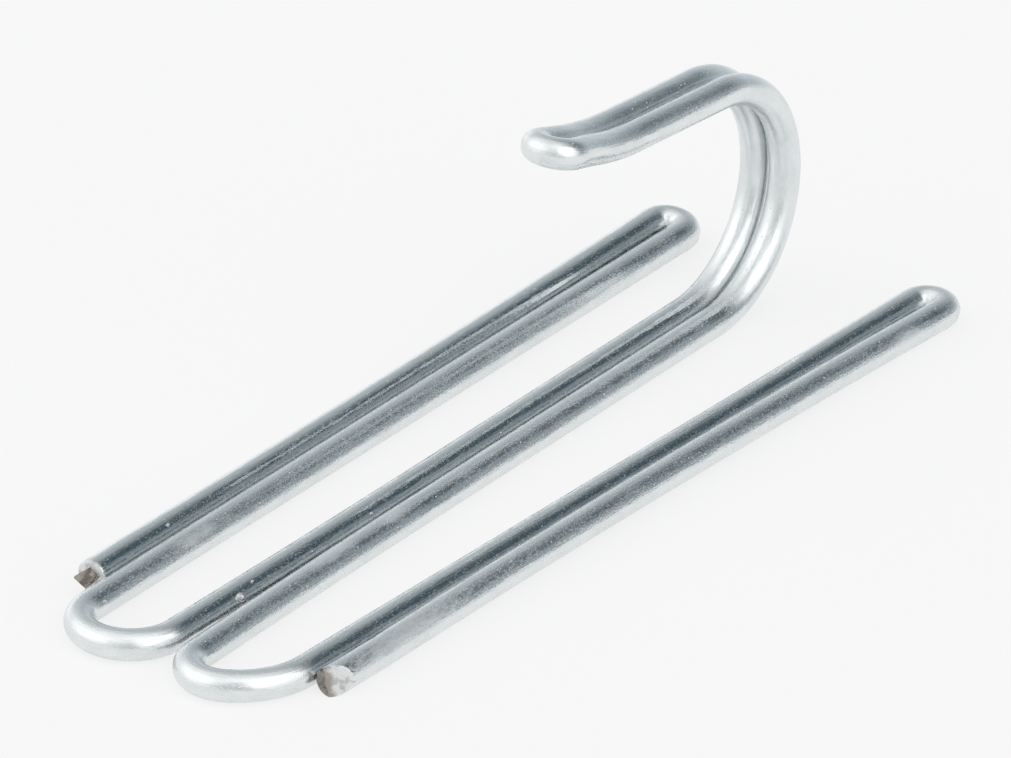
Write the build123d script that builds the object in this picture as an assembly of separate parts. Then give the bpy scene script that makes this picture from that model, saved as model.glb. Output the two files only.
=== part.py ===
from build123d import *
from dataclasses import dataclass
from math import acos, cos, degrees, radians, sin, tan
import os

# A two-finger pleat hook, bent from one length of round zinc-plated steel wire.
# From the back finger's free end the wire runs along that finger, folds, comes back through a U bend
# into the shank, goes over the hook, turns at its tip and returns the same way through the front finger.
# Lengths are in millimetres and angles in degrees. X runs along the fingers towards their folds,
# Y towards the back finger and Z up. Radii and runs are those of the wire's centreline.

# Wire
WIRE_DIAMETER = 2.0

# Shank: two wires side by side, sprung apart a little over a length before the U bends
SHANK_GAP = 0.22
SHANK_PARTING = 0.24
PARTING_LENGTH = 24.0

# Hook: a round bend, a straight arm, and a lip that flares up to a narrow loop at the tip
HOOK_RADIUS = 7.85
HOOK_TURN = 175.3
ARM_LENGTH = 9.05
FLARE_RADIUS = 22.0
FLARE_TURN = 11.35
TIP_RADIUS = 1.26
TIP_EASE_RADIUS = 25.0

# Fingers: each is a wire folded back on itself, nearly closed at its free end
FOLD_GAP = 0.28
FREE_END_GAP = 0.09
FREE_END_RUN = 4.0
BOW_LEAD_RADIUS = 25.0

# Back finger: an even U bend, and an outer wire that rides high and sags a little
BACK_SHANK_RUN = 53.3
BACK_BEND_RADIUS = 3.2
BACK_BEND_TURN = 87.0
BACK_OPEN_RADIUS = 3.17
BACK_SPLAY = -0.27
BACK_INNER_RUN = 62.0
BACK_OUTER_RUN = 59.68
BACK_FOLD_ROLL = 6.3
BACK_BOW = -0.17

# Front finger: a U bend that starts tight and opens out, and an outer wire bowed up
FRONT_SHANK_RUN = 54.65
FRONT_BEND_RADIUS = 2.46
FRONT_BEND_TURN = 112.7
FRONT_OPEN_RADIUS = 5.1
FRONT_SPLAY = 1.89
FRONT_INNER_RUN = 61.75
FRONT_OUTER_RUN = 60.85
FRONT_FOLD_ROLL = 0.0
FRONT_BOW = 0.36

# Pinched cut at the back finger's free end: a chisel-shaped tab beyond a shoulder, narrower at its root,
# and a facet pressed into the wire's back that runs out beside the tab
TAB_LENGTH = 1.13
TAB_EDGE = 0.2
TAB_SLOPE = 17.5
TAB_WIDTH = 1.05
TAB_WAIST = 9.0
TAB_ROLL = -28.0
PINCH_LENGTH = 1.8
PINCH_SLOPE = 15.5
PINCH_ROLL = 118.0

# Sheared cut at the front finger's free end: a bevel on its front, and a land left behind it
BEVEL_SLOPE = 48.0
BEVEL_LAND = 0.75
BEVEL_ROLL = 15.0

ALONG = Vector(1, 0, 0)
BACKWARDS = Vector(0, 1, 0)
UP = Vector(0, 0, 1)
WIRE_RADIUS = WIRE_DIAMETER / 2
SHANK_SPACING = WIRE_DIAMETER + SHANK_GAP
FOLD_SPACING = WIRE_DIAMETER + FOLD_GAP


@dataclass
class Finger:
    """The runs and bends of one side of the hook, from the shank to the free end."""

    outwards: Vector
    shank_run: float
    bend_radius: float
    bend_turn: float
    open_radius: float
    splay: float
    inner_run: float
    outer_run: float
    fold_roll: float
    bow: float


BACK = Finger(
    BACKWARDS,
    BACK_SHANK_RUN,
    BACK_BEND_RADIUS,
    BACK_BEND_TURN,
    BACK_OPEN_RADIUS,
    BACK_SPLAY,
    BACK_INNER_RUN,
    BACK_OUTER_RUN,
    BACK_FOLD_ROLL,
    BACK_BOW,
)
FRONT = Finger(
    -BACKWARDS,
    FRONT_SHANK_RUN,
    FRONT_BEND_RADIUS,
    FRONT_BEND_TURN,
    FRONT_OPEN_RADIUS,
    FRONT_SPLAY,
    FRONT_INNER_RUN,
    FRONT_OUTER_RUN,
    FRONT_FOLD_ROLL,
    FRONT_BOW,
)


class Bender:
    """Lays the wire's centreline as straight runs and bends, each tangent to the one before."""

    def __init__(self, start, heading):
        self.point = start
        self.heading = heading
        self.edges = []

    def straight(self, length):
        start = self.point
        self.point = start + self.heading * length
        self.edges.append(Edge.make_line(start, self.point))

    def bend(self, radius, angle, towards):
        """Turns through an angle, in the plane of the heading and the direction turned towards."""
        start, ahead = self.point, self.heading
        inwards = (towards - ahead * ahead.dot(towards)).normalized()

        def reached(turn):
            return start + ahead * (radius * sin(turn)) + inwards * (radius * (1 - cos(turn)))

        turn = radians(angle)
        self.point = reached(turn)
        self.heading = ahead * cos(turn) + inwards * sin(turn)
        self.edges.append(Edge.make_three_point_arc(start, reached(turn / 2), self.point))

    def bowed(self, length, bow):
        """Lays a run that rises to a bow at its middle, or sags where the bow is negative."""
        if bow == 0:
            self.straight(length)
            return
        lean = degrees(4 * abs(bow) / length)
        rise = UP if bow > 0 else -UP
        self.bend(BOW_LEAD_RADIUS, lean, rise)
        self.bend(length / radians(2 * lean), 2 * lean, -rise)
        self.bend(BOW_LEAD_RADIUS, lean, rise)


def lay_hook(outwards):
    """One wire of the hook, from the shank's end to the middle of the loop at the tip."""
    wire = Bender(outwards * (SHANK_SPACING / 2), ALONG)
    wire.bend(HOOK_RADIUS, HOOK_TURN, UP)
    wire.straight(ARM_LENGTH)
    wire.bend(FLARE_RADIUS, FLARE_TURN, UP)
    ease = degrees(acos((SHANK_SPACING / 2 + TIP_EASE_RADIUS) / (TIP_RADIUS + TIP_EASE_RADIUS)))
    wire.bend(TIP_EASE_RADIUS, ease, outwards)
    wire.bend(TIP_RADIUS, 90 + ease, -outwards)
    return wire


def lay_finger(finger):
    """One wire of the shank and its finger, from the hook to the free end."""
    wire = Bender(finger.outwards * (SHANK_SPACING / 2), -ALONG)
    parting = degrees(2 * SHANK_PARTING / PARTING_LENGTH)
    wire.straight(finger.shank_run - PARTING_LENGTH)
    wire.bend(PARTING_LENGTH / radians(parting), parting, finger.outwards)
    wire.bend(finger.bend_radius, finger.bend_turn, finger.outwards)
    wire.bend(finger.open_radius, 180 - parting - finger.bend_turn - finger.splay, ALONG)
    wire.straight(finger.inner_run)
    roll = radians(finger.fold_roll)
    closing = degrees((FOLD_GAP - FREE_END_GAP) / finger.outer_run)
    wire.bend(FOLD_SPACING / 2, 180 + closing, finger.outwards * cos(roll) + UP * sin(roll))
    wire.bowed(finger.outer_run - FREE_END_RUN, finger.bow)
    wire.straight(FREE_END_RUN)
    return wire


def end_frame(wire):
    """A plane on a free end, with Z out of the cut, X to the front and Y up."""
    return Plane(origin=wire.point, x_dir=-BACKWARDS, z_dir=wire.heading)


# A cutter reaches past the wire's own surface, but not to the wire beside it.
CUTTER_RADIUS = WIRE_RADIUS + FREE_END_GAP / 2
CUTTER_DEPTH = 3 * WIRE_DIAMETER
CUTTER_SPACE = Cylinder(CUTTER_RADIUS, 2 * CUTTER_DEPTH)
CUTTER_BLOCK = Box(*[2 * CUTTER_DEPTH] * 3, align=(Align.CENTER, Align.CENTER, Align.MIN))


def wedge(edge, slope):
    """The outline of a tab that ends in a blunt edge, with sides that slope apart towards its root."""
    depth = 2 * TAB_LENGTH
    root = edge / 2 + depth * tan(radians(slope))
    return Polygon((-edge / 2, 0), (edge / 2, 0), (root, -depth), (-root, -depth), align=None)


def slanting_waste(reach, depth, slope, roll):
    """All beyond a plane that slopes inwards to the free end, given a reach and depth that it passes."""
    slant = Pos(reach, 0, -depth) * Rot(0, 90 - slope, 0) * CUTTER_BLOCK
    return CUTTER_SPACE & Rot(0, 0, roll) * slant


def pinched_waste():
    """What the pinched cut takes away: all beyond the shoulder except the tab, and all over the facet."""
    beyond = CUTTER_SPACE & Pos(0, 0, -TAB_LENGTH) * CUTTER_BLOCK
    thick = extrude(Plane.YZ * wedge(TAB_EDGE, TAB_SLOPE), CUTTER_DEPTH, both=True)
    wide = extrude(Plane.XZ * wedge(TAB_WIDTH, -TAB_WAIST), CUTTER_DEPTH, both=True)
    tab = Rot(0, 0, TAB_ROLL) * (thick & wide)
    pinch = slanting_waste(WIRE_RADIUS, PINCH_LENGTH, PINCH_SLOPE, PINCH_ROLL)
    return (beyond - tab) + pinch


def sheared_waste():
    """What the sheared cut takes away: all beyond a bevel that slopes back to the front."""
    return slanting_waste(BEVEL_LAND - WIRE_RADIUS, 0, BEVEL_SLOPE, BEVEL_ROLL)


def make_wire():
    """The whole wire, bent and cut to length."""
    back, front = lay_finger(BACK), lay_finger(FRONT)
    runs = [back, lay_hook(BACK.outwards), lay_hook(FRONT.outwards), front]
    path = Wire([edge for run in runs for edge in run.edges])
    section = Plane(origin=back.point, z_dir=-back.heading) * Circle(WIRE_RADIUS)
    wire = sweep(section, path=path)
    wire -= end_frame(back) * pinched_waste()
    wire -= end_frame(front) * sheared_waste()
    return wire


def stand(wire):
    """The wire lying on the XY plane, with the middle of its box over the origin."""
    box = wire.bounding_box()
    return Pos(-box.center().X, -box.center().Y, -box.min.Z) * wire


os.makedirs("parts", exist_ok=True)
export_step(stand(make_wire()), "parts/hook_wire.step")
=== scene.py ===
import math

import bpy
import numpy as np
from bpy.props import FloatProperty, FloatVectorProperty, IntProperty, PointerProperty
from bpy.types import Operator, Panel, PropertyGroup
from mathutils import Matrix, Vector


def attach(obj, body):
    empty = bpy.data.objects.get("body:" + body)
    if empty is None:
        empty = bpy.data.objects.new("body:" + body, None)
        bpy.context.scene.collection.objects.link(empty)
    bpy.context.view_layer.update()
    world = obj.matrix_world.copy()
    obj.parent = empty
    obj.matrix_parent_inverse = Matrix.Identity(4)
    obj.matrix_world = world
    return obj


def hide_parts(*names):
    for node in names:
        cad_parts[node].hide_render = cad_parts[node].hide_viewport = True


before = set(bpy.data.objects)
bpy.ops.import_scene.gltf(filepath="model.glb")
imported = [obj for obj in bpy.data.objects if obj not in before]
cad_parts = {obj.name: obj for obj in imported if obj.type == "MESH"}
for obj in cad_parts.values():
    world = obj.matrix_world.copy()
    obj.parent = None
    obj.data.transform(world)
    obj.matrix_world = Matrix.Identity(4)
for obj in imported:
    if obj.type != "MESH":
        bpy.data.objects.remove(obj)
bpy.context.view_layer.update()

bl_info = {
    "name": "Pleat Hook",
    "version": (1, 0, 0),
    "blender": (4, 5, 0),
    "location": "View3D > Sidebar > Pleat Hook",
    "description": "Bends, cuts and plates the wire of a two-finger pleat hook and sets it on a stage",
    "category": "Object",
}

MM = 0.001
ALONG = Vector((1, 0, 0))
BACKWARDS = Vector((0, 1, 0))
UP = Vector((0, 0, 1))
JOINT_DISTANCE = 0.04 * MM
CAP_DISTANCE = 0.01 * MM
CUTTER_SIDES = 64
CUTTER_DEPTH = 6 * MM
FLOOR_SIDES = 96
SHARP_ANGLE = math.radians(30)
NODE = "hook_wire"

# Levels of noise from which and up to which each mark in the zinc and the steel comes in
CLOUD_LEVELS = (0.38, 0.66)
FLECK_LEVELS = (0.53, 0.9)
SPECK_LEVELS = (0.66, 0.88)
SCUFF_LEVELS = (0.68, 1.08)
BARED_LEVELS = (0.45, 0.85)
BLOT_LEVELS = (0.36, 0.52)
STAIN_LEVELS = (0.4, 0.62)

# How much a dull cloud adds to the rubbing, and a fully worn place to the crowding of the flecks
CLOUD_RUBBING = 0.35
WEAR_CROWDING = 0.075

# How much a scuff adds to its noise at its middle, and a bared end to its own
SCUFF_STRENGTH = 0.7
BARED_STRENGTH = 0.4

# How far the wear of a run fades out over its ends, and the rubbing at which the zinc is dullest
WEAR_FADE = 5 * MM
DULLEST = 2.0

# How a drop of zinc spreads below its middle, and how far out it stands, in its own radii
DROP_SPREAD = (1.3, 1.15, 0.6)
DROP_LIFT = 0.2

# How rubbed the zinc is on each run of the wire, on the side of the shank that the run lies on,
# from 0 where it is bright to DULLEST and over where the bending dulled it
RUBBED = {
    ("inner", "back"): 1.0,
    ("shank", "front"): 1.0,
    ("outer", "front"): 1.0,
    ("arm", "front"): 1.0,
    ("hook", "back"): 1.5,
    ("hook", "front"): 1.5,
    ("lip", "back"): 1.2,
    ("lip", "front"): 1.4,
    ("tip", "back"): 2.4,
    ("tip", "front"): 2.4,
    ("u_bend", "back"): 1.6,
    ("u_bend", "front"): 1.6,
    ("fold", "back"): 2.6,
    ("fold", "front"): 2.6,
}

# How frosted the zinc is on the runs that have lain against other hooks
FROSTED = {
    ("inner", "back"): 1.0,
    ("shank", "front"): 1.0,
    ("outer", "front"): 1.0,
    ("arm", "front"): 0.7,
    ("fold", "front"): 0.5,
}

# Scuffs: the run and its side, the place along X, the lean from the top to the front,
# the length along the wire and the width round it
SCUFFS = (
    ("shank", "front", -17.5 * MM, math.radians(8), 10.0 * MM, 0.9 * MM),
    ("shank", "front", -11.0 * MM, math.radians(15), 5.0 * MM, 0.8 * MM),
    ("outer", "front", 28.0 * MM, math.radians(62), 6.0 * MM, 0.9 * MM),
    ("outer", "front", -23.0 * MM, math.radians(45), 22.0 * MM, 1.5 * MM),
    ("inner", "back", -20.0 * MM, math.radians(38), 9.0 * MM, 0.8 * MM),
)

# Drops of zinc: the run and its side, the place along X, the lean from the top to the front, the radius
DROPS = (
    ("shank", "back", -24.5 * MM, math.radians(60), 0.3 * MM),
    ("shank", "back", -22.92 * MM, math.radians(34), 0.10 * MM),
    ("shank", "back", -11.12 * MM, math.radians(54), 0.10 * MM),
    ("shank", "back", 2.43 * MM, math.radians(60), 0.08 * MM),
    ("inner", "back", -29.62 * MM, math.radians(64), 0.13 * MM),
    ("outer", "back", -20.17 * MM, math.radians(40), 0.11 * MM),
)


def size_of(name, millimetres, description):
    """A length that a user may change, given in millimetres and kept in metres."""
    return FloatProperty(
        name=name, description=description, default=millimetres * MM, unit="LENGTH", precision=5
    )


def angle_of(name, degrees, description):
    """An angle that a user may change, given in degrees and kept in radians."""
    return FloatProperty(
        name=name, description=description, default=math.radians(degrees), unit="ROTATION"
    )


def share_of(name, value, description):
    """A share from 0 to 1 that a user may change."""
    return FloatProperty(
        name=name, description=description, default=value, min=0, max=1, subtype="FACTOR"
    )


def colour_of(name, colour, description):
    """A colour that a user may change, in linear light."""
    return FloatVectorProperty(
        name=name, description=description, default=colour, size=3, min=0, max=1, subtype="COLOR"
    )


class WireSizes(PropertyGroup):
    """The wire, its shank and its hook. Radii and runs are those of the wire's centreline."""

    diameter: size_of("Wire diameter", 2.0, "Diameter of the round wire")
    shank_gap: size_of("Shank gap", 0.22, "Gap between the shank's two wires")
    shank_parting: size_of("Shank parting", 0.24, "How far each shank wire springs outwards")
    parting_length: size_of("Parting length", 24.0, "Length over which the shank's wires part")
    hook_radius: size_of("Hook radius", 7.85, "Radius of the hook's round bend")
    hook_turn: angle_of("Hook turn", 175.3, "Turn of the hook's round bend")
    arm_length: size_of("Arm length", 9.05, "Straight arm after the hook's bend")
    flare_radius: size_of("Flare radius", 22.0, "Radius of the bend that lifts the lip")
    flare_turn: angle_of("Flare turn", 11.35, "Turn of the bend that lifts the lip")
    tip_radius: size_of("Tip radius", 1.26, "Radius of the loop at the tip")
    tip_ease_radius: size_of("Tip ease radius", 25.0, "Radius of the bends that lead into the loop")
    fold_gap: size_of("Fold gap", 0.28, "Gap between a finger's two wires at its fold")
    free_end_gap: size_of("Free end gap", 0.09, "Gap between a finger's two wires at its free end")
    free_end_run: size_of("Free end run", 4.0, "Straight run at the end of a finger")
    bow_lead_radius: size_of("Bow lead radius", 25.0, "Radius of the bends each side of a bow")
    root: FloatVectorProperty(
        name="Hook root",
        description="Place between the shank's wires where the hook begins",
        default=(23.29658 * MM, 1.1857 * MM, 1.0 * MM),
        subtype="TRANSLATION",
        unit="LENGTH",
    )
    sides: IntProperty(name="Sides", description="Faces round the wire", default=48, min=12)
    spacing: size_of("Ring spacing", 0.36, "Distance between rings of faces along the wire")


class BackFingerSizes(PropertyGroup):
    """The finger at the back: an even U bend, and an outer wire that rides high and sags a little."""

    shank_run: size_of("Shank run", 53.3, "Shank wire from the hook to the U bend")
    bend_radius: size_of("Bend radius", 3.2, "Radius of the U bend's first part")
    bend_turn: angle_of("Bend turn", 87.0, "Turn of the U bend's first part")
    open_radius: size_of("Open radius", 3.17, "Radius of the U bend's second part")
    splay: angle_of("Splay", -0.27, "How far the finger leans away from the shank")
    inner_run: size_of("Inner run", 62.0, "Inner wire from the U bend to the fold")
    outer_run: size_of("Outer run", 59.68, "Outer wire from the fold to the free end")
    fold_roll: angle_of("Fold roll", 6.3, "How far the fold is rolled up")
    bow: size_of("Bow", -0.17, "Rise of the outer wire at its middle, or its sag where negative")


class FrontFingerSizes(PropertyGroup):
    """The finger at the front: a U bend that starts tight and opens out, and a bowed outer wire."""

    shank_run: size_of("Shank run", 54.65, "Shank wire from the hook to the U bend")
    bend_radius: size_of("Bend radius", 2.46, "Radius of the U bend's first part")
    bend_turn: angle_of("Bend turn", 112.7, "Turn of the U bend's first part")
    open_radius: size_of("Open radius", 5.1, "Radius of the U bend's second part")
    splay: angle_of("Splay", 1.89, "How far the finger leans away from the shank")
    inner_run: size_of("Inner run", 61.75, "Inner wire from the U bend to the fold")
    outer_run: size_of("Outer run", 60.85, "Outer wire from the fold to the free end")
    fold_roll: angle_of("Fold roll", 0.0, "How far the fold is rolled up")
    bow: size_of("Bow", 0.36, "Rise of the outer wire at its middle, or its sag where negative")


class CutSizes(PropertyGroup):
    """The pinched cut at the back finger's free end and the sheared cut at the front finger's."""

    tab_length: size_of("Tab length", 1.13, "Length of the pinched tab from its shoulder")
    tab_edge: size_of("Tab edge", 0.2, "Thickness of the tab's blunt edge")
    tab_slope: angle_of("Tab slope", 17.5, "Slope of the tab's broad faces")
    tab_width: size_of("Tab width", 1.05, "Width of the tab at its edge")
    tab_waist: angle_of("Tab waist", 9.0, "Slope at which the tab's sides close in to its root")
    tab_roll: angle_of("Tab roll", -28.0, "Turn of the tab about the wire")
    pinch_length: size_of("Pinch length", 1.8, "Length of the facet pressed in beside the tab")
    pinch_slope: angle_of("Pinch slope", 15.5, "Slope of the pressed facet")
    pinch_roll: angle_of("Pinch roll", 118.0, "Turn of the pressed facet about the wire")
    bevel_slope: angle_of("Bevel slope", 48.0, "Slope of the sheared bevel")
    bevel_land: size_of("Bevel land", 0.75, "Width of the flat land behind the bevel")
    bevel_roll: angle_of("Bevel roll", 15.0, "Turn of the bevel about the wire")
    edge_round: size_of("Edge round", 0.03, "Rounding of the cuts' edges")


class ZincFinish(PropertyGroup):
    """The wire's bright zinc and the steel bared by the cuts."""

    zinc: colour_of("Zinc", (0.79, 0.82, 0.83), "Colour of the bright zinc")
    dull_zinc: colour_of("Dull zinc", (0.73, 0.765, 0.765), "Colour of the zinc's duller clouds")
    # The drops' grey is painted shade: darker than the wire's zinc, it stands in for the shade of the
    # groove where the big bead sits
    painted_shade_drop_zinc: colour_of("Run zinc", (0.50, 0.52, 0.525), "Colour of the zinc drops")
    fleck: colour_of("Fleck", (0.84, 0.86, 0.865), "Colour of the frosted flecks")
    smear: colour_of("Smear", (0.74, 0.75, 0.745), "Colour of the zinc dragged over the cuts")
    dull_smear: colour_of("Dull smear", (0.518, 0.525, 0.5215), "Colour of the dragged zinc's blots")
    bare_steel: colour_of("Bare steel", (0.36, 0.33, 0.30), "Colour of the sheared steel")
    stained_steel: colour_of("Stained steel", (0.162, 0.1485, 0.135), "Colour of the steel's stains")
    roughness: share_of("Roughness", 0.1, "Roughness of the bright zinc")
    rubbed_roughness: share_of("Rubbed roughness", 0.31, "Roughness of zinc that has been rubbed")
    fleck_roughness: share_of("Fleck roughness", 0.35, "Roughness of the frosted flecks")
    scuff_roughness: share_of("Scuff roughness", 0.46, "Roughness of the scuffed zinc")
    smear_roughness: share_of("Smear roughness", 0.4, "Roughness of the zinc dragged over the cuts")
    steel_roughness: share_of("Steel roughness", 0.5, "Roughness of the sheared steel")
    draw_line: size_of("Draw line", 0.12, "Width of the lines that drawing left along the wire")
    draw_line_depth: size_of("Draw line depth", 0.012, "Depth of the draw lines")
    ripple: size_of("Ripple", 0.4, "Width of the ripples in the zinc")
    ripple_depth: size_of("Ripple depth", 0.025, "Depth of the ripples")
    frost: size_of("Frost", 0.1, "Size of the frosted flecks")
    frost_depth: size_of("Frost depth", 0.008, "Height of the frosted flecks")
    cloud: size_of("Cloud", 0.9, "Size of the duller clouds")
    scuff: size_of("Scuff", 0.3, "Size of the marks that make up a scuff")
    speck: size_of("Speck", 0.3, "Distance between specks on the zinc")
    speck_radius: size_of("Speck radius", 0.06, "Radius of the specks")
    speck_height: size_of("Speck height", 0.035, "Height of the specks")
    tear: size_of("Tear", 0.12, "Size of the marks on the cut faces")
    tear_depth: size_of("Tear depth", 0.032, "Depth of the marks on the cut faces")
    bared: size_of("Bared", 0.7, "How far from the end the sheared bevel is bared to the steel")


class StageSettings(PropertyGroup):
    """The floor, the light round it and the camera."""

    floor_colour: colour_of("Floor", (0.937, 0.937, 0.937), "Colour of the pale floor")
    floor_glow: share_of("Floor glow", 0.8, "Share of the floor's colour that no shadow dims")
    floor_radius: size_of("Floor radius", 1500.0, "Radius of the floor")
    room: colour_of("Room", (0.044, 0.074, 0.092), "Light of the dim room round the lamps")
    camera_azimuth: angle_of("Camera azimuth", -54.33, "Turn of the view about the vertical")
    camera_elevation: angle_of("Camera elevation", 27.09, "Height of the view above the floor")
    camera_distance: size_of("Camera distance", 1000.0, "Distance from the camera to its target")
    camera_lens: FloatProperty(
        name="Lens", description="Focal length on a 36 mm sensor", default=570.6, subtype="NONE"
    )
    camera_target: FloatVectorProperty(
        name="Camera target",
        description="Place that the camera looks at",
        default=(9.318 * MM, 6.058 * MM, 1.0 * MM),
        subtype="TRANSLATION",
        unit="LENGTH",
    )


WARM = (1.03, 1.0, 0.985)
COOL = (0.96, 1.0, 1.025)

# Soft lamps of the studio: azimuth and elevation, the angle within which a lamp is full,
# the angle at which it has faded out, its strength and its colour
LAMPS = (
    ("wide lamp at the left", 140, -17, 18, 118, 0.84, WARM),
    ("box at the right front", -96, 28, 26, 40, 1.1, WARM),
    ("upper edge of the box", -80, 62, 5, 40, 0.5, WARM),
    ("spill behind the box", -122, 38, 5, 48, 0.3, WARM),
    ("dim glow beside the box", -48, 8, 8, 30, 0.22, COOL),
    ("lamp above", 118, 63, 1, 70, 0.76, WARM),
    ("pale wall ahead", 19, -17, 1, 73, 0.68, COOL),
    ("bright foot of the wall", 62, -12, 10, 34, 0.5, WARM),
)


class Run:
    """A straight run of the wire's centreline or a bend in it."""

    def __init__(self, name, start, heading, length, radius=None, inwards=None):
        self.name = name
        self.start = start
        self.heading = heading
        self.length = length
        self.radius = radius
        self.inwards = inwards

    @property
    def turn(self):
        return self.length / self.radius if self.radius else 0.0

    def at(self, distance):
        """The point and the heading at a distance along the run."""
        if not self.radius:
            return self.start + self.heading * distance, self.heading
        turn = distance / self.radius
        sine, cosine = math.sin(turn), math.cos(turn)
        point = self.start + (self.heading * sine + self.inwards * (1 - cosine)) * self.radius
        return point, self.heading * cosine + self.inwards * sine

    def end(self):
        """The point and the heading at the run's end."""
        return self.at(self.length)

    def backwards(self):
        """The same run, laid from its end to its start."""
        point, heading = self.end()
        inwards = None
        if self.radius:
            inwards = self.inwards * math.cos(self.turn) - self.heading * math.sin(self.turn)
        return Run(self.name, point, -heading, self.length, self.radius, inwards)

    def unbend(self, points, side):
        """Distances along the run, places across the wire from the side direction, and misses."""
        heading, side = np.array(self.heading), np.array(side)
        across = np.cross(heading, side)
        if not self.radius:
            offset = points - np.array(self.start)
            along = offset @ heading
            out = offset - along[:, None] * heading
        else:
            inwards = np.array(self.inwards)
            offset = points - np.array(self.start + self.inwards * self.radius)
            u, v = -(offset @ inwards), offset @ heading
            swing = np.arctan2(v, u) % (2 * math.pi)
            swing = np.where(swing > math.pi + self.turn / 2, swing - 2 * math.pi, swing)
            along = swing * self.radius
            level = np.cross(heading, inwards)
            reach = np.hypot(u, v) - self.radius
            out = (offset @ level)[:, None] * level - reach[:, None] * inwards
        past = along - np.clip(along, 0, self.length)
        miss = np.hypot(past, np.linalg.norm(out, axis=1))
        return along, np.stack([out @ side, out @ across], axis=1), miss

    def carried(self, side):
        """The side direction after the run, turned as the wire turns it."""
        if not self.radius:
            return side
        level = self.heading.cross(self.inwards)
        outwards = -self.backwards().inwards
        return outwards * -side.dot(self.inwards) + level * side.dot(level)


class Route:
    """Plans the wire's centreline as straight runs and bends, each tangent to the one before."""

    def __init__(self, start, heading):
        self.point = start
        self.heading = heading
        self.runs = []

    def add(self, run):
        self.runs.append(run)
        self.point, self.heading = run.end()

    def straight(self, name, length):
        self.add(Run(name, self.point, self.heading, length))

    def bend(self, name, radius, angle, towards):
        """Turns through an angle, in the plane of the heading and the direction turned towards."""
        inwards = (towards - self.heading * self.heading.dot(towards)).normalized()
        self.add(Run(name, self.point, self.heading, radius * angle, radius, inwards))

    def bowed(self, name, length, bow, lead_radius):
        """A run that rises to a bow at its middle, or sags where the bow is negative."""
        lean = 4 * abs(bow) / length
        rise = UP if bow > 0 else -UP
        self.bend(name, lead_radius, lean, rise)
        self.bend(name, length / (2 * lean), 2 * lean, -rise)
        self.bend(name, lead_radius, lean, rise)


def plan_hook(sizes, outwards):
    """One wire of the hook, from the shank's end to the middle of the loop at the tip."""
    half = (sizes.diameter + sizes.shank_gap) / 2
    route = Route(Vector(sizes.root) + outwards * half, ALONG)
    route.bend("hook", sizes.hook_radius, sizes.hook_turn, UP)
    route.straight("arm", sizes.arm_length)
    route.bend("lip", sizes.flare_radius, sizes.flare_turn, UP)
    reach = sizes.tip_radius + sizes.tip_ease_radius
    ease = math.acos((half + sizes.tip_ease_radius) / reach)
    route.bend("lip", sizes.tip_ease_radius, ease, outwards)
    route.bend("tip", sizes.tip_radius, math.pi / 2 + ease, -outwards)
    return route.runs


def plan_finger(sizes, finger, outwards):
    """One wire of the shank and its finger, from the hook to the free end."""
    half = (sizes.diameter + sizes.shank_gap) / 2
    route = Route(Vector(sizes.root) + outwards * half, -ALONG)
    parting = 2 * sizes.shank_parting / sizes.parting_length
    route.straight("shank", finger.shank_run - sizes.parting_length)
    route.bend("shank", sizes.parting_length / parting, parting, outwards)
    route.bend("u_bend", finger.bend_radius, finger.bend_turn, outwards)
    opening = math.pi - parting - finger.bend_turn - finger.splay
    route.bend("u_bend", finger.open_radius, opening, ALONG)
    route.straight("inner", finger.inner_run)
    closing = (sizes.fold_gap - sizes.free_end_gap) / finger.outer_run
    towards = outwards * math.cos(finger.fold_roll) + UP * math.sin(finger.fold_roll)
    route.bend("fold", (sizes.diameter + sizes.fold_gap) / 2, math.pi + closing, towards)
    bowed_run = finger.outer_run - sizes.free_end_run
    route.bowed("outer", bowed_run, finger.bow, sizes.bow_lead_radius)
    route.straight("outer", sizes.free_end_run)
    return route.runs


def plan_wire(scene):
    """The whole centreline, from the back finger's free end to the front finger's."""
    sizes = scene.hook_wire
    back = plan_finger(sizes, scene.hook_back_finger, BACKWARDS)
    front = plan_finger(sizes, scene.hook_front_finger, -BACKWARDS)
    over = plan_hook(sizes, BACKWARDS)
    returning = plan_hook(sizes, -BACKWARDS)
    runs = [run.backwards() for run in reversed(back)] + over
    return runs + [run.backwards() for run in reversed(returning)] + front


def strand_of(run):
    """Which side of the shank's middle a run lies on."""
    middle = bpy.context.scene.hook_wire.root[1]
    return "back" if (run.start.y + run.end()[0].y) / 2 > middle else "front"


def place_on(runs, name, side, x, lean, radius):
    """A point on the wire's surface and the outward direction there, on a run that lies along X."""
    for run in runs:
        distance = (x - run.start.x) / run.heading.x if abs(run.heading.x) > 0.5 else -1
        if (run.name, strand_of(run)) == (name, side) and 0 <= distance <= run.length:
            point, heading = run.at(distance)
            front = (-BACKWARDS - heading * -BACKWARDS.dot(heading)).normalized()
            outwards = UP * math.cos(lean) + front * math.sin(lean)
            return point + outwards * radius, outwards
    raise ValueError(f"No {side} {name} at {x / MM:.1f} mm")


def clear_selection():
    """Leaves object mode with nothing selected."""
    if bpy.context.object and bpy.context.object.mode != "OBJECT":
        bpy.ops.object.mode_set(mode="OBJECT")
    bpy.ops.object.select_all(action="DESELECT")


def take_up(piece):
    """Makes a piece the only one selected, and active."""
    clear_selection()
    piece.select_set(True)
    bpy.context.view_layer.objects.active = piece


def settle(piece):
    """Puts a piece's place, turn and scale into its mesh."""
    take_up(piece)
    bpy.ops.object.transform_apply(location=True, rotation=True, scale=True)


def select_parts(piece, kind, wanted):
    """Goes into edit mode with only the wanted points or faces of a piece selected."""
    take_up(piece)
    bpy.ops.object.mode_set(mode="EDIT")
    bpy.ops.mesh.select_mode(type=kind)
    bpy.ops.mesh.select_all(action="DESELECT")
    bpy.ops.object.mode_set(mode="OBJECT")
    for part in piece.data.vertices if kind == "VERT" else piece.data.polygons:
        part.select = wanted(part)
    bpy.ops.object.mode_set(mode="EDIT")


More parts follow.
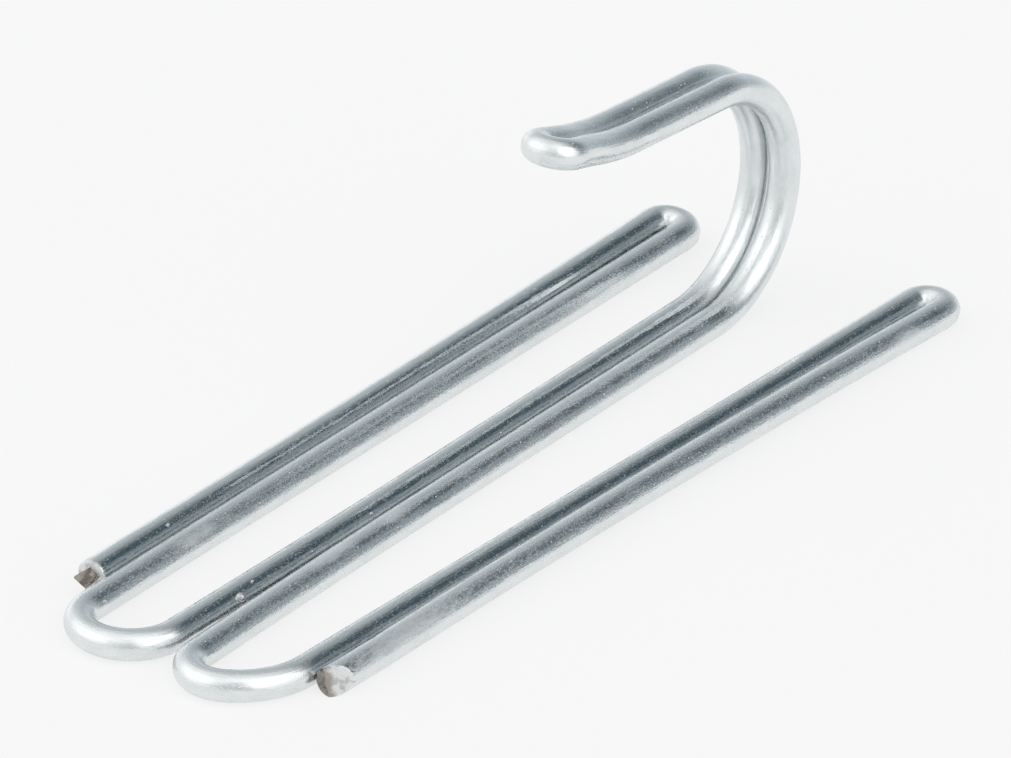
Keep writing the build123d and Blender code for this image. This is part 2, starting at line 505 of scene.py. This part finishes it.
def coordinates(mesh):
    """The places of a mesh's points, one row each."""
    places = np.empty(len(mesh.vertices) * 3)
    mesh.vertices.foreach_get("co", places)
    return places.reshape(-1, 3)


def draw_run(run, side, sizes, zinc):
    """One run of the wire: a ring drawn out straight, or spun about the bend's centre."""
    clear_selection()
    bpy.ops.mesh.primitive_circle_add(
        vertices=sizes.sides, radius=sizes.diameter / 2, fill_type="NOTHING"
    )
    piece = bpy.context.object
    piece.data.materials.append(zinc)
    turn = Matrix((side, run.heading.cross(side), run.heading)).transposed().to_4x4()
    piece.data.transform(Matrix.Translation(run.start) @ turn)
    bpy.ops.object.mode_set(mode="EDIT")
    bpy.ops.mesh.select_all(action="SELECT")
    steps = max(2, round(run.length / sizes.spacing))
    if run.radius:
        bpy.ops.mesh.spin(
            steps=steps,
            angle=run.turn,
            center=run.start + run.inwards * run.radius,
            axis=run.inwards.cross(run.heading),
            use_auto_merge=False,
        )
    else:
        bpy.ops.mesh.extrude_repeat(steps=steps, offset=run.heading * (run.length / steps))
    bpy.ops.object.mode_set(mode="OBJECT")
    return piece


def end_frame(point, heading):
    """A turn and place on a free end: X to the front, Y up and Z out of the cut."""
    front = -BACKWARDS - heading * -BACKWARDS.dot(heading)
    front.normalize()
    up = heading.cross(front)
    turn = Matrix((front, up, heading)).transposed().to_4x4()
    return Matrix.Translation(point) @ turn


def apply_modifier(piece, kind, **settings):
    """Gives a piece one modifier and applies it."""
    take_up(piece)
    modifier = piece.modifiers.new(kind.lower(), kind)
    for key, value in settings.items():
        setattr(modifier, key, value)
    bpy.ops.object.modifier_apply(modifier=modifier.name)


def take_away(piece, cutter):
    """Cuts one piece with another, which is used up and leaves its finish on the cut."""
    apply_modifier(
        piece,
        "BOOLEAN",
        operation="DIFFERENCE",
        solver="EXACT",
        material_mode="TRANSFER",
        object=cutter,
    )
    bpy.data.objects.remove(cutter)


def waste_beyond(radius, place, outwards, finish):
    """A rod round a free end, with all behind a plane cut off it."""
    clear_selection()
    bpy.ops.mesh.primitive_cylinder_add(vertices=CUTTER_SIDES, radius=radius, depth=2 * CUTTER_DEPTH)
    waste = bpy.context.object
    waste.data.materials.append(finish)
    bpy.ops.object.mode_set(mode="EDIT")
    bpy.ops.mesh.select_all(action="SELECT")
    bpy.ops.mesh.bisect(plane_co=place, plane_no=outwards, use_fill=True, clear_inner=True)
    bpy.ops.object.mode_set(mode="OBJECT")
    return waste


def slanting_waste(radius, reach, depth, slope, roll, finish):
    """All beyond a plane that slopes inwards to the free end, given a reach and depth that it passes."""
    turn = Matrix.Rotation(roll, 3, "Z")
    outwards = Vector((math.cos(slope), 0, math.sin(slope)))
    return waste_beyond(radius, turn @ Vector((reach, 0, -depth)), turn @ outwards, finish)


def chisel_tab(cuts, finish):
    """The tab that the pinched cut leaves: a bar that thins to a blunt edge and has a waist."""
    depth = 2 * cuts.tab_length
    clear_selection()
    bpy.ops.mesh.primitive_cube_add(size=1, location=(0, 0, -depth / 2))
    tab = bpy.context.object
    tab.data.materials.append(finish)
    tab.scale = (cuts.tab_width, cuts.tab_edge, depth)
    settle(tab)
    select_parts(tab, "VERT", lambda point: point.co.z < -depth / 2)
    narrowing = 1 - 2 * depth * math.tan(cuts.tab_waist) / cuts.tab_width
    thickening = 1 + 2 * depth * math.tan(cuts.tab_slope) / cuts.tab_edge
    bpy.ops.transform.resize(value=(narrowing, thickening, 1))
    bpy.ops.object.mode_set(mode="OBJECT")
    tab.rotation_euler.z = cuts.tab_roll
    settle(tab)
    return tab


def pinched_wastes(cuts, radius, reach, finishes):
    """What the pinched cut takes away: all beyond a shoulder except the tab, and all over a facet."""
    beyond = waste_beyond(reach, (0, 0, -cuts.tab_length), (0, 0, 1), finishes["pinched"])
    take_away(beyond, chisel_tab(cuts, finishes["steel"]))
    pinch = slanting_waste(
        reach, radius, cuts.pinch_length, cuts.pinch_slope, cuts.pinch_roll, finishes["pinched"]
    )
    return [beyond, pinch]


def sheared_wastes(cuts, radius, reach, finishes):
    """What the sheared cut takes away: all beyond a bevel that slopes back to the front."""
    land = cuts.bevel_land - radius
    return [slanting_waste(reach, land, 0, cuts.bevel_slope, cuts.bevel_roll, finishes["sheared"])]


def cut_free_end(piece, wastes, place, inner_end, edge_round, steel):
    """Closes a free end's run, cuts it, eases the cut and opens the run where it joins the wire."""
    take_up(piece)
    piece.data.materials.append(steel)
    bpy.ops.object.mode_set(mode="EDIT")
    bpy.ops.mesh.select_all(action="SELECT")
    bpy.ops.mesh.fill_holes(sides=0)
    bpy.ops.mesh.normals_make_consistent(inside=False)
    bpy.ops.object.mode_set(mode="OBJECT")
    for face in piece.data.polygons:
        face.material_index = int(len(face.vertices) > 4)
    for waste in wastes:
        waste.matrix_world = place
        settle(waste)
        take_away(piece, waste)
    select_parts(piece, "FACE", lambda face: (face.center - inner_end).length < CAP_DISTANCE)
    bpy.ops.mesh.delete(type="ONLY_FACE")
    bpy.ops.mesh.select_mode(type="EDGE")
    bpy.ops.mesh.select_all(action="DESELECT")
    bpy.ops.mesh.edges_select_sharp(sharpness=SHARP_ANGLE)
    bpy.ops.mesh.bevel(offset=edge_round, segments=2, affect="EDGES")
    bpy.ops.object.mode_set(mode="OBJECT")


def cut_ends(pieces, runs, sizes, cuts, finishes):
    """Pinches off the back finger's free end and shears the front finger's."""
    radius = sizes.diameter / 2
    reach = radius + sizes.free_end_gap / 2
    first, last = runs[0], runs[-1]
    wastes = pinched_wastes(cuts, radius, reach, finishes)
    place = end_frame(first.start, -first.heading)
    cut_free_end(pieces[0], wastes, place, first.end()[0], cuts.edge_round, finishes["steel"])
    wastes = sheared_wastes(cuts, radius, reach, finishes)
    place = end_frame(*last.end())
    cut_free_end(pieces[-1], wastes, place, last.start, cuts.edge_round, finishes["steel"])


def lay_wire(runs, sizes, cuts, finishes):
    """Draws every run, cuts the first and the last, and joins them all end to end."""
    pieces = []
    side = runs[0].heading.orthogonal().normalized()
    for run in runs:
        pieces.append(draw_run(run, side, sizes, finishes["zinc"]))
        side = run.carried(side)
    cut_ends(pieces, runs, sizes, cuts, finishes)
    clear_selection()
    for piece in pieces:
        piece.select_set(True)
    wire = pieces[0]
    bpy.context.view_layer.objects.active = wire
    bpy.ops.object.join()
    wire.name = wire.data.name = "bent_wire"
    bpy.ops.object.mode_set(mode="EDIT")
    bpy.ops.mesh.select_mode(type="EDGE")
    bpy.ops.mesh.select_all(action="DESELECT")
    bpy.ops.mesh.select_non_manifold(extend=False)
    bpy.ops.mesh.remove_doubles(threshold=JOINT_DISTANCE)
    bpy.ops.mesh.select_all(action="SELECT")
    bpy.ops.mesh.normals_make_consistent(inside=False)
    bpy.ops.object.mode_set(mode="OBJECT")
    return wire


def straighten(wire, runs):
    """Writes each point's place on the wire as it was before bending, for the finish to follow."""
    places = coordinates(wire.data)
    straight = np.zeros_like(places)
    nearest = np.full(len(places), np.inf)
    side = runs[0].heading.orthogonal().normalized()
    travelled = 0.0
    for run in runs:
        along, across, miss = run.unbend(places, side)
        found = miss < nearest
        nearest[found] = miss[found]
        straight[found, :2] = across[found]
        straight[found, 2] = travelled + along[found]
        travelled += run.length
        side = run.carried(side)
    marks = wire.data.attributes.new("straight", "FLOAT_VECTOR", "POINT")
    marks.data.foreach_set("vector", straight.astype(np.float32).ravel())
    return straight


def write_wear(wire, name, wear):
    """Marks every point of the wire with how worn it is in one way."""
    marks = wire.data.attributes.new(name, "FLOAT", "POINT")
    marks.data.foreach_set("value", wear.astype(np.float32))


def wear_along(runs, straight, worn):
    """How worn each point is, from the wear given for the run that it lies on."""
    along = straight[:, 2]
    wear = np.zeros(len(along))
    travelled = 0.0
    for run in runs:
        start, travelled = travelled, travelled + run.length
        most = worn.get((run.name, strand_of(run)), 0.0)
        inside = np.minimum(along - start, travelled - along) / WEAR_FADE + 0.5
        wear = np.maximum(wear, most * np.clip(inside, 0, 1))
    return wear


def scuffs_on(places, runs, radius):
    """How scuffed each point is, fading out from the middle of each scuff."""
    scuffed = np.zeros(len(places))
    for name, side, x, lean, length, width in SCUFFS:
        middle, _ = place_on(runs, name, side, x, lean, radius)
        away = (places - np.array(middle)) / (length / 2, width, width)
        inside = np.clip(1 - np.linalg.norm(away, axis=1), 0, 1)
        scuffed = np.maximum(scuffed, SCUFF_STRENGTH * inside)
    return scuffed


def new_material(name):
    """A material with only a metal surface, and its nodes and links."""
    material = bpy.data.materials.new(name)
    material.use_nodes = True
    nodes, links = material.node_tree.nodes, material.node_tree.links
    surface = nodes["Principled BSDF"]
    surface.inputs["Metallic"].default_value = 1.0
    return material, nodes, links, surface


def attribute(nodes, name, output="Fac"):
    """What the wire's own marks say at a point."""
    node = nodes.new("ShaderNodeAttribute")
    node.attribute_name = name
    return node.outputs[output]


def fit(nodes, links, source, sizes):
    """Places counted in blots of the given sizes, across and along the wire."""
    mapping = nodes.new("ShaderNodeMapping")
    mapping.inputs["Scale"].default_value = [1 / size for size in sizes]
    links.new(source, mapping.inputs["Vector"])
    return mapping.outputs["Vector"]


def noise(nodes, links, source, sizes, detail=2.0, rough=0.5):
    """A noise whose blots have the given sizes across and along the wire."""
    texture = nodes.new("ShaderNodeTexNoise")
    texture.inputs["Scale"].default_value = 1.0
    texture.inputs["Detail"].default_value = detail
    texture.inputs["Roughness"].default_value = rough
    links.new(fit(nodes, links, source, sizes), texture.inputs["Vector"])
    return texture.outputs["Fac"]


def remap(nodes, links, value, low, high, to_low=0.0, to_high=1.0):
    """A smooth step of a value between two levels."""
    step = nodes.new("ShaderNodeMapRange")
    step.interpolation_type = "SMOOTHSTEP"
    for key, level in zip(("From Min", "From Max", "To Min", "To Max"), (low, high, to_low, to_high)):
        step.inputs[key].default_value = level
    links.new(value, step.inputs["Value"])
    return step.outputs["Result"]


def blend(nodes, links, share, first, second, kind="RGBA"):
    """A mix of two colours or two values, each a socket or a constant."""
    mix = nodes.new("ShaderNodeMix")
    mix.data_type = kind
    sockets = [socket for socket in mix.inputs if socket.enabled]
    links.new(share, sockets[0])
    for socket, value in zip(sockets[1:], (first, second)):
        if isinstance(value, bpy.types.NodeSocket):
            links.new(value, socket)
        else:
            socket.default_value = (*value, 1) if kind == "RGBA" else value
    return next(socket for socket in mix.outputs if socket.enabled)


def raise_bump(nodes, links, height, depth, below=None):
    """A bump of a height's own depth, over another where one is given."""
    bump = nodes.new("ShaderNodeBump")
    bump.inputs["Distance"].default_value = depth
    links.new(height, bump.inputs["Height"])
    if below:
        links.new(below, bump.inputs["Normal"])
    return bump.outputs["Normal"]


def combine(nodes, links, operation, first, second):
    """A sum, product or other working of two values, each a socket or a number."""
    node = nodes.new("ShaderNodeMath")
    node.operation = operation
    for socket, value in zip(node.inputs, (first, second)):
        if isinstance(value, bpy.types.NodeSocket):
            links.new(value, socket)
        else:
            socket.default_value = value
    return node.outputs[0]


def specks(nodes, links, source, finish):
    """Round specks in some of the cells that fill the surface, 1 at their middle and 0 between them."""
    cells = nodes.new("ShaderNodeTexVoronoi")
    cells.inputs["Scale"].default_value = 1.0
    links.new(fit(nodes, links, source, (finish.speck,) * 3), cells.inputs["Vector"])
    dots = remap(nodes, links, cells.outputs["Distance"], finish.speck_radius / finish.speck, 0.0)
    chosen = remap(nodes, links, cells.outputs["Color"], *SPECK_LEVELS)
    return combine(nodes, links, "MULTIPLY", dots, chosen)


def frost(nodes, links, source, crowding, finish):
    """Fine frosted flecks, sparse where the crowding is 0 and more of them as it rises."""
    grain = noise(nodes, links, source, (finish.frost, finish.frost, 2 * finish.frost), 2.0, 0.6)
    return remap(nodes, links, combine(nodes, links, "ADD", grain, crowding), *FLECK_LEVELS)


def scuff(nodes, links, source, finish):
    """Marks of rubbing that crowd together where the wire is scuffed."""
    patches = noise(nodes, links, source, (finish.scuff, finish.scuff, 3 * finish.scuff), 6.0, 0.75)
    patches = combine(nodes, links, "ADD", patches, attribute(nodes, "scuffed"))
    return remap(nodes, links, patches, *SCUFF_LEVELS)


def zinc_material(finish):
    """Bright zinc on drawn wire: draw lines, ripples, dull clouds, specks, frosted flecks and scuffs."""
    material, nodes, links, surface = new_material("bright_zinc")
    place = attribute(nodes, "straight", "Vector")
    cloud = (finish.cloud, finish.cloud, 2 * finish.cloud)
    clouds = remap(nodes, links, noise(nodes, links, place, cloud, 5.0, 0.65), *CLOUD_LEVELS)
    lines = noise(nodes, links, place, (finish.draw_line, finish.draw_line, 30 * finish.draw_line), 3.0)
    ripples = noise(nodes, links, place, (finish.ripple, finish.ripple, 4 * finish.ripple), 2.0)
    dots = specks(nodes, links, place, finish)
    clouded = combine(nodes, links, "MULTIPLY", clouds, CLOUD_RUBBING)
    rubbing = combine(nodes, links, "ADD", clouded, attribute(nodes, "rubbed"))
    wear = combine(nodes, links, "ADD", clouds, attribute(nodes, "frosted"))
    crowding = combine(nodes, links, "MULTIPLY", wear, WEAR_CROWDING)
    flecks = frost(nodes, links, place, crowding, finish)
    scuffs = scuff(nodes, links, place, finish)

    colour = blend(nodes, links, clouds, finish.zinc, finish.dull_zinc)
    colour = blend(nodes, links, flecks, colour, finish.fleck)
    links.new(colour, surface.inputs["Base Color"])

    dullness = (finish.roughness, finish.rubbed_roughness)
    roughness = remap(nodes, links, rubbing, 0.0, DULLEST, *dullness)
    roughness = blend(nodes, links, flecks, roughness, finish.fleck_roughness, "FLOAT")
    roughness = blend(nodes, links, scuffs, roughness, finish.scuff_roughness, "FLOAT")
    links.new(roughness, surface.inputs["Roughness"])

    normal = raise_bump(nodes, links, lines, finish.draw_line_depth)
    normal = raise_bump(nodes, links, ripples, finish.ripple_depth, normal)
    normal = raise_bump(nodes, links, flecks, finish.frost_depth, normal)
    normal = raise_bump(nodes, links, dots, finish.speck_height, normal)
    links.new(normal, surface.inputs["Normal"])
    return material


def smeared_material(finish, name, end):
    """Zinc dragged over a cut: pale and dull, and rubbed through to the steel near the wire's end."""
    material, nodes, links, surface = new_material(name)
    place = nodes.new("ShaderNodeTexCoord").outputs["Object"]
    axes = nodes.new("ShaderNodeSeparateXYZ")
    links.new(place, axes.inputs[0])
    marks = noise(nodes, links, place, (finish.tear,) * 3, 3.0, 0.6)
    patches = noise(nodes, links, place, (4 * finish.tear,) * 3, 3.0, 0.6)
    limits = (-BARED_STRENGTH, BARED_STRENGTH)
    near = remap(nodes, links, axes.outputs["X"], end + finish.bared, end, *limits)
    bared = remap(nodes, links, combine(nodes, links, "ADD", patches, near), *BARED_LEVELS)
    blots = remap(nodes, links, noise(nodes, links, place, (5 * finish.tear,) * 3), *BLOT_LEVELS)
    dragged = blend(nodes, links, blots, finish.dull_smear, finish.smear)
    links.new(blend(nodes, links, bared, dragged, finish.bare_steel), surface.inputs["Base Color"])
    surface.inputs["Roughness"].default_value = finish.smear_roughness
    links.new(raise_bump(nodes, links, marks, finish.tear_depth), surface.inputs["Normal"])
    return material


def steel_material(finish):
    """Steel bared by the cuts: brownish, dull and torn."""
    material, nodes, links, surface = new_material("sheared_steel")
    place = nodes.new("ShaderNodeTexCoord").outputs["Object"]
    torn = noise(nodes, links, place, (finish.tear,) * 3, 3.0, 0.6)
    stains = noise(nodes, links, place, (4 * finish.tear,) * 3, 3.0, 0.5)
    clean = remap(nodes, links, stains, *STAIN_LEVELS)
    colour = blend(nodes, links, clean, finish.stained_steel, finish.bare_steel)
    links.new(colour, surface.inputs["Base Color"])
    surface.inputs["Roughness"].default_value = finish.steel_roughness
    links.new(raise_bump(nodes, links, torn, 2 * finish.tear_depth), surface.inputs["Normal"])
    return material


def drop_material(finish):
    """Zinc that has run together in drops: plain and dull, in a grey darker than the wire's zinc that is
    painted shade, for the groove the big bead sits in.
    """
    material, _, _, surface = new_material("painted_shade_drop_zinc")
    # Painted shade: the drops' grey base colour stands in for the shade of the groove round the big bead
    surface.inputs["Base Color"].default_value = (*finish.painted_shade_drop_zinc, 1)
    surface.inputs["Roughness"].default_value = finish.fleck_roughness
    return material


def melt_drop():
    """A drop of zinc of radius 1: a ball that sags onto the wire and spreads where it meets it."""
    clear_selection()
    bpy.ops.mesh.primitive_ico_sphere_add(subdivisions=3, radius=1)
    drop = bpy.context.object
    select_parts(drop, "VERT", lambda point: point.co.z < 0)
    bpy.ops.transform.resize(value=DROP_SPREAD)
    bpy.ops.mesh.select_all(action="SELECT")
    bpy.ops.mesh.vertices_smooth(factor=0.5, repeat=2)
    bpy.ops.object.mode_set(mode="OBJECT")
    return drop


def leave_drop(pattern, middle, outwards, radius):
    """A copy of the drop, brought to its size and set down on the wire."""
    take_up(pattern)
    bpy.ops.object.duplicate(linked=False)
    drop = bpy.context.object
    turn = Matrix((ALONG, outwards.cross(ALONG), outwards)).transposed().to_4x4()
    place = Matrix.Translation(middle + outwards * (radius * DROP_LIFT))
    drop.matrix_world = place @ turn @ Matrix.Scale(radius, 4)
    settle(drop)
    return drop


class HOOK_OT_bend_wire(Operator):
    """Bends the wire along its planned runs, cuts its ends and plates it"""

    bl_idname = "hook.bend_wire"
    bl_label = "Bend the wire"

    def execute(self, context):
        scene = context.scene
        sizes, finish = scene.hook_wire, scene.hook_finish
        runs = plan_wire(scene)
        finishes = {
            "zinc": zinc_material(finish),
            "pinched": smeared_material(finish, "pinched_zinc", runs[0].start.x),
            "sheared": smeared_material(finish, "sheared_zinc", runs[-1].end()[0].x),
            "steel": steel_material(finish),
        }
        wire = lay_wire(runs, sizes, scene.hook_cuts, finishes)
        straight = straighten(wire, runs)
        write_wear(wire, "rubbed", wear_along(runs, straight, RUBBED))
        write_wear(wire, "frosted", wear_along(runs, straight, FROSTED))
        write_wear(wire, "scuffed", scuffs_on(coordinates(wire.data), runs, sizes.diameter / 2))
        take_up(wire)
        bpy.ops.object.shade_smooth_by_angle(angle=SHARP_ANGLE)
        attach(wire, "root")
        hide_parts(NODE)
        return {"FINISHED"}


class HOOK_OT_leave_drops(Operator):
    """Leaves drops of zinc on the wire, where the plating ran together"""

    bl_idname = "hook.leave_drops"
    bl_label = "Leave zinc drops"

    def execute(self, context):
        scene = context.scene
        runs = plan_wire(scene)
        pattern = melt_drop()
        drops = []
        for name, side, x, lean, radius in DROPS:
            middle, outwards = place_on(runs, name, side, x, lean, scene.hook_wire.diameter / 2)
            drops.append(leave_drop(pattern, middle, outwards, radius))
        bpy.data.objects.remove(pattern)
        clear_selection()
        for drop in drops:
            drop.select_set(True)
        beads = drops[0]
        bpy.context.view_layer.objects.active = beads
        bpy.ops.object.join()
        bpy.ops.object.shade_smooth()
        beads.name = beads.data.name = "zinc_drops"
        beads.data.materials.append(drop_material(scene.hook_finish))
        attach(beads, "root")
        return {"FINISHED"}


class HOOK_OT_set_stage(Operator):
    """Lays the floor, lights it softly and places the camera"""

    bl_idname = "hook.set_stage"
    bl_label = "Set the stage"

    def execute(self, context):
        stage = context.scene.hook_stage
        context.scene.view_settings.view_transform = "Standard"
        lay_floor(stage)
        light_studio(context.scene, stage)
        place_camera(context.scene, stage)
        return {"FINISHED"}


def lay_floor(stage):
    """A pale disc with a soft shadow, nearly plain to the camera and where the metal mirrors it once."""
    clear_selection()
    bpy.ops.mesh.primitive_circle_add(
        vertices=FLOOR_SIDES, radius=stage.floor_radius, fill_type="NGON"
    )
    floor = bpy.context.object
    floor.name = "floor"
    material = bpy.data.materials.new("pale_floor")
    material.use_nodes = True
    nodes, links = material.node_tree.nodes, material.node_tree.links
    nodes.clear()
    output = nodes.new("ShaderNodeOutputMaterial")
    paint = nodes.new("ShaderNodeBsdfDiffuse")
    paint.inputs["Color"].default_value = (*stage.floor_colour, 1)
    glow = nodes.new("ShaderNodeEmission")
    glow.inputs["Color"].default_value = (*stage.floor_colour, 1)
    mix = nodes.new("ShaderNodeMixShader")
    rays = nodes.new("ShaderNodeLightPath").outputs
    once = combine(nodes, links, "LESS_THAN", rays["Glossy Depth"], 2)
    mirrored = combine(nodes, links, "MULTIPLY", rays["Is Glossy Ray"], once)
    seen = combine(nodes, links, "MAXIMUM", rays["Is Camera Ray"], mirrored)
    seen = combine(nodes, links, "MAXIMUM", seen, rays["Is Transmission Ray"])
    links.new(combine(nodes, links, "MULTIPLY", seen, stage.floor_glow), mix.inputs[0])
    links.new(paint.outputs[0], mix.inputs[1])
    links.new(glow.outputs[0], mix.inputs[2])
    links.new(mix.outputs[0], output.inputs["Surface"])
    floor.data.materials.append(material)


def light_studio(scene, stage):
    """A dim room with a few wide soft lamps, which the camera sees as a plain backdrop."""
    world = bpy.data.worlds.new("studio")
    scene.world = world
    world.use_nodes = True
    nodes, links = world.node_tree.nodes, world.node_tree.links
    nodes.clear()
    output = nodes.new("ShaderNodeOutputWorld")
    ray = nodes.new("ShaderNodeTexCoord").outputs["Generated"]
    room = nodes.new("ShaderNodeBackground")
    room.inputs["Color"].default_value = (*stage.room, 1)
    light = room.outputs[0]
    for label, azimuth, elevation, full, faded, strength, colour in LAMPS:
        azimuth, elevation = math.radians(azimuth), math.radians(elevation)
        facing = nodes.new("ShaderNodeVectorMath")
        facing.operation = "DOT_PRODUCT"
        facing.label = label
        facing.inputs[1].default_value = (
            math.cos(azimuth) * math.cos(elevation),
            math.sin(azimuth) * math.cos(elevation),
            math.sin(elevation),
        )
        links.new(ray, facing.inputs[0])
        limits = math.cos(math.radians(faded)), math.cos(math.radians(full))
        fade = remap(nodes, links, facing.outputs["Value"], *limits, 0.0, strength)
        lamp = nodes.new("ShaderNodeBackground")
        links.new(fade, lamp.inputs["Strength"])
        lamp.inputs["Color"].default_value = (*colour, 1)
        both = nodes.new("ShaderNodeAddShader")
        links.new(light, both.inputs[0])
        links.new(lamp.outputs[0], both.inputs[1])
        light = both.outputs[0]
    backdrop = nodes.new("ShaderNodeBackground")
    backdrop.inputs["Color"].default_value = (*stage.floor_colour, 1)
    rays = nodes.new("ShaderNodeLightPath")
    mix = nodes.new("ShaderNodeMixShader")
    links.new(rays.outputs["Is Camera Ray"], mix.inputs[0])
    links.new(light, mix.inputs[1])
    links.new(backdrop.outputs[0], mix.inputs[2])
    links.new(mix.outputs[0], output.inputs["Surface"])


def place_camera(scene, stage):
    """A long lens that looks down on the hook from the front left."""
    data = bpy.data.cameras.new("camera")
    data.lens = stage.camera_lens
    data.clip_start = stage.camera_distance / 100
    data.clip_end = stage.camera_distance * 10
    camera = bpy.data.objects.new("camera", data)
    scene.collection.objects.link(camera)
    azimuth, elevation = stage.camera_azimuth, stage.camera_elevation
    back = Vector((math.sin(azimuth), -math.cos(azimuth), 0)) * math.cos(elevation)
    back += UP * math.sin(elevation)
    camera.location = Vector(stage.camera_target) + back * stage.camera_distance
    camera.rotation_euler = back.to_track_quat("Z", "Y").to_euler()
    scene.camera = camera


class HOOK_PT_panel(Panel):
    """Lists the hook's operators and sizes"""

    bl_idname = "HOOK_PT_panel"
    bl_label = "Pleat Hook"
    bl_space_type = "VIEW_3D"
    bl_region_type = "UI"
    bl_category = "Pleat Hook"

    def draw(self, context):
        for operator in OPERATORS:
            self.layout.operator(operator.bl_idname)
        for name in SETTINGS:
            box = self.layout.box()
            box.label(text=name.replace("_", " ").capitalize())
            group = getattr(context.scene, name)
            for key in group.__annotations__:
                box.prop(group, key)


SETTINGS = {
    "hook_wire": WireSizes,
    "hook_back_finger": BackFingerSizes,
    "hook_front_finger": FrontFingerSizes,
    "hook_cuts": CutSizes,
    "hook_finish": ZincFinish,
    "hook_stage": StageSettings,
}
OPERATORS = (HOOK_OT_bend_wire, HOOK_OT_leave_drops, HOOK_OT_set_stage)


def register():
    for group in SETTINGS.values():
        bpy.utils.register_class(group)
    for name, group in SETTINGS.items():
        setattr(bpy.types.Scene, name, PointerProperty(type=group))
    for item in (*OPERATORS, HOOK_PT_panel):
        bpy.utils.register_class(item)


def unregister():
    for item in reversed((*OPERATORS, HOOK_PT_panel)):
        bpy.utils.unregister_class(item)
    for name in SETTINGS:
        delattr(bpy.types.Scene, name)
    for group in SETTINGS.values():
        bpy.utils.unregister_class(group)


def main():
    register()
    bpy.ops.hook.bend_wire()
    bpy.ops.hook.leave_drops()
    bpy.ops.hook.set_stage()


if __name__ == "__main__":
    main()
